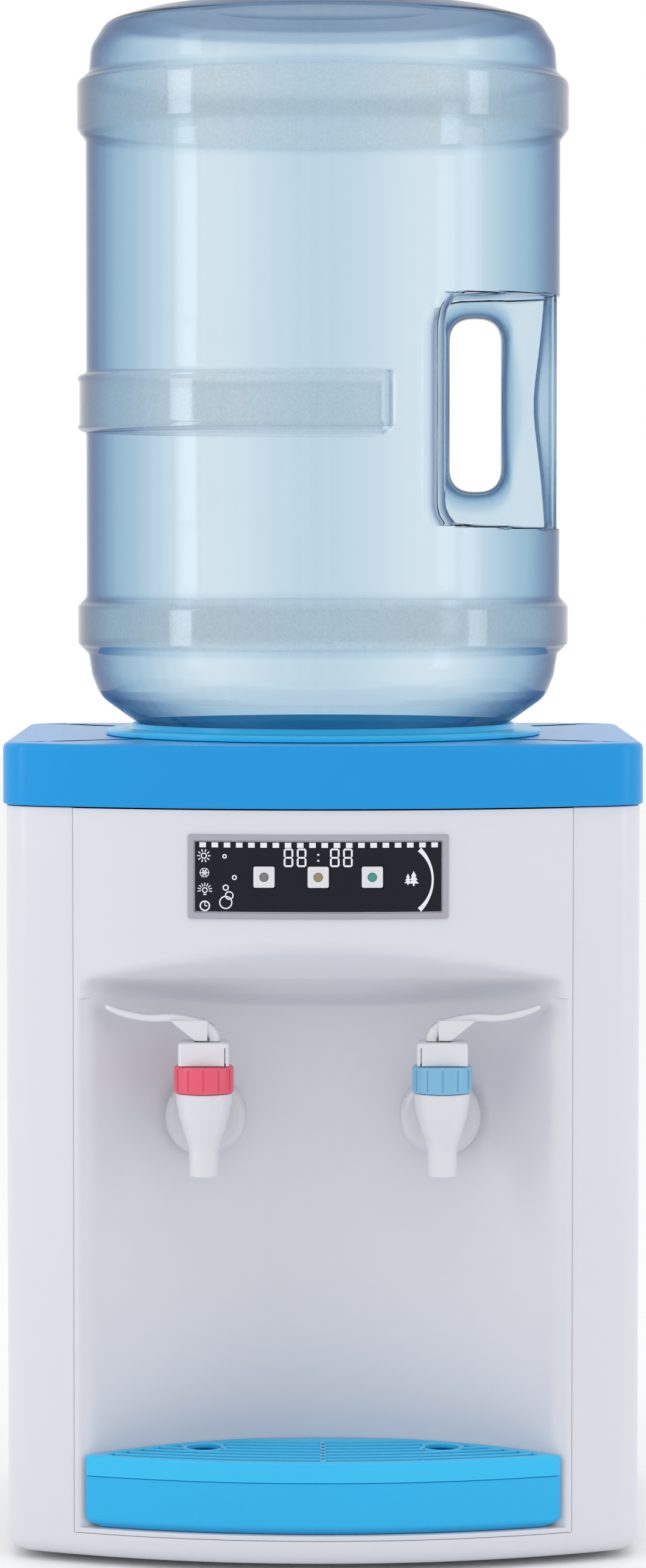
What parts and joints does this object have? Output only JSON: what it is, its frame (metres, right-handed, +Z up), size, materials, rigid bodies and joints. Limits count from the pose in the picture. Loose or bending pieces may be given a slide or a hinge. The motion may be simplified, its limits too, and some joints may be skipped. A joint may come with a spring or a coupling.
{
  "type": "countertop water dispenser",
  "caption": "Countertop hot and cold water dispenser with lever taps in a curved niche, lift-out drip tray, key panel and an upturned bottle with a side handle.",
  "frame": {"origin": "on the standing surface under the centre of the bounding box", "axes": "+Z up, -Y towards the user, +X to the right as the user sees it"},
  "size_m": [0.3384, 0.3043, 0.829],
  "materials": {
    "white_plastic": "satin moulded",
    "cover_blue": "glossy moulded",
    "tray_blue": "glossy moulded",
    "display_grey": "satin",
    "display_black": "glossy",
    "key_white": "satin",
    "tap_white": "glossy moulded",
    "nut_red": "satin",
    "nut_blue": "satin",
    "bottle_plastic": "clear tinted polycarbonate",
    "cap_blue": "satin",
    "steel": "brushed",
    "aluminium": "plain",
    "black_plastic": "matte",
    "circuit_board": "satin",
    "foam": "open foam",
    "silicone": "translucent",
    "rubber": "matte",
    "switch_red": "glossy",
    "switch_green": "glossy",
    "ceramic": "matte"
  },
  "bodies": {
    "cabinet": {"casing": "white_plastic", "front_panel": "white_plastic", "rear_cover": "white_plastic", "water_spike": "white_plastic", "drain_plug": "white_plastic", "top_cover": "cover_blue", "bottle_collar": "cover_blue", "display_frame": "display_grey", "display_window": "display_black", "display_board": "circuit_board", "power_board": "circuit_board", "hot_escutcheon": "tap_white", "hot_tap_body": "tap_white", "hot_tap_block": "tap_white", "hot_tap_nut": "nut_red", "hot_tap_spring": "steel", "hot_tube": "silicone", "cold_escutcheon": "tap_white", "cold_tap_body": "tap_white", "cold_tap_block": "tap_white", "cold_tap_nut": "nut_blue", "cold_tap_spring": "steel", "cold_tube": "silicone", "feed_tube": "silicone", "hot_tank": "steel", "cold_tank": "steel", "heater_band": "aluminium", "heat_sink": "aluminium", "thermostat": "black_plastic", "fan_frame": "black_plastic", "power_inlet": "black_plastic", "cold_tank_insulation": "foam", "cooling_module": "ceramic", "foot_front_left": "rubber", "foot_front_right": "rubber", "foot_rear_left": "rubber", "foot_rear_right": "rubber", "cover_screw_1": "steel", "cover_screw_2": "steel", "cover_screw_3": "steel", "cover_screw_4": "steel"},
    "bottle": {"bottle": "bottle_plastic", "bottle_cap": "cap_blue"},
    "drip_tray": {"drip_tray": "tray_blue"},
    "tray_grille": {"tray_grille": "tray_blue"},
    "key_left": {"key_left": "key_white"},
    "key_middle": {"key_middle": "key_white"},
    "key_right": {"key_right": "key_white"},
    "hot_switch": {"hot_switch": "switch_red"},
    "cold_switch": {"cold_switch": "switch_green"},
    "fan_rotor": {"fan_rotor": "black_plastic"},
    "hot_stem": {"hot_tap_stem": "silicone", "hot_lever_pin": "steel"},
    "cold_stem": {"cold_tap_stem": "silicone", "cold_lever_pin": "steel"},
    "hot_lever": {"hot_tap_lever": "tap_white"},
    "cold_lever": {"cold_tap_lever": "tap_white"}
  },
  "joints": [
    {"name": "bottle_lift", "type": "slide", "parent": "cabinet", "child": "bottle", "axis": [0, 0, 1], "range_m": [0, 0.14]},
    {"name": "tray_pull", "type": "slide", "parent": "cabinet", "child": "drip_tray", "axis": [0, -1, 0], "range_m": [0, 0.09]},
    {"name": "grille_lift", "type": "slide", "parent": "drip_tray", "child": "tray_grille", "axis": [0, 0, 1], "range_m": [0, 0.03]},
    {"name": "key_left_press", "type": "slide", "parent": "cabinet", "child": "key_left", "axis": [0, 1, 0], "range_m": [0, 0.0012], "stiffness_N_per_m": 600, "springref_m": -0.0015},
    {"name": "key_middle_press", "type": "slide", "parent": "cabinet", "child": "key_middle", "axis": [0, 1, 0], "range_m": [0, 0.0012], "stiffness_N_per_m": 600, "springref_m": -0.0015},
    {"name": "key_right_press", "type": "slide", "parent": "cabinet", "child": "key_right", "axis": [0, 1, 0], "range_m": [0, 0.0012], "stiffness_N_per_m": 600, "springref_m": -0.0015},
    {"name": "hot_stem_lift", "type": "slide", "parent": "cabinet", "child": "hot_stem", "axis": [0, 0, 1], "range_m": [0, 0.003], "stiffness_N_per_m": 400, "springref_m": -0.004, "deforming": ["hot_tap_spring"]},
    {"name": "hot_lever_turn", "type": "hinge", "parent": "hot_stem", "child": "hot_lever", "pos_m": [-0.0625, -0.125, 0.2826], "axis": [0, -1, 0], "range_deg": [0, 20], "stiffness_Nm_per_rad": 0.0012, "springref_deg": -11.46},
    {"name": "cold_stem_lift", "type": "slide", "parent": "cabinet", "child": "cold_stem", "axis": [0, 0, 1], "range_m": [0, 0.003], "stiffness_N_per_m": 400, "springref_m": -0.004, "deforming": ["cold_tap_spring"]},
    {"name": "cold_lever_turn", "type": "hinge", "parent": "cold_stem", "child": "cold_lever", "pos_m": [0.0625, -0.125, 0.2826], "axis": [0, 1, 0], "range_deg": [0, 20], "stiffness_Nm_per_rad": 0.0012, "springref_deg": -11.46},
    {"name": "hot_switch_rock", "type": "hinge", "parent": "cabinet", "child": "hot_switch", "pos_m": [-0.11, 0.1465, 0.3], "axis": [1, 0, 0], "range_deg": [0, 18]},
    {"name": "cold_switch_rock", "type": "hinge", "parent": "cabinet", "child": "cold_switch", "pos_m": [-0.08, 0.1465, 0.3], "axis": [1, 0, 0], "range_deg": [0, 18]},
    {"name": "fan_spin", "type": "hinge", "parent": "cabinet", "child": "fan_rotor", "pos_m": [0.06, 0.13, 0.24], "axis": [0, 1, 0], "continuous": true}
  ],
  "couplings": [
    {"joint": "hot_lever_turn", "follows": "hot_stem_lift", "rad_per_m": 116.24},
    {"joint": "cold_lever_turn", "follows": "cold_stem_lift", "rad_per_m": 116.24}
  ]
}
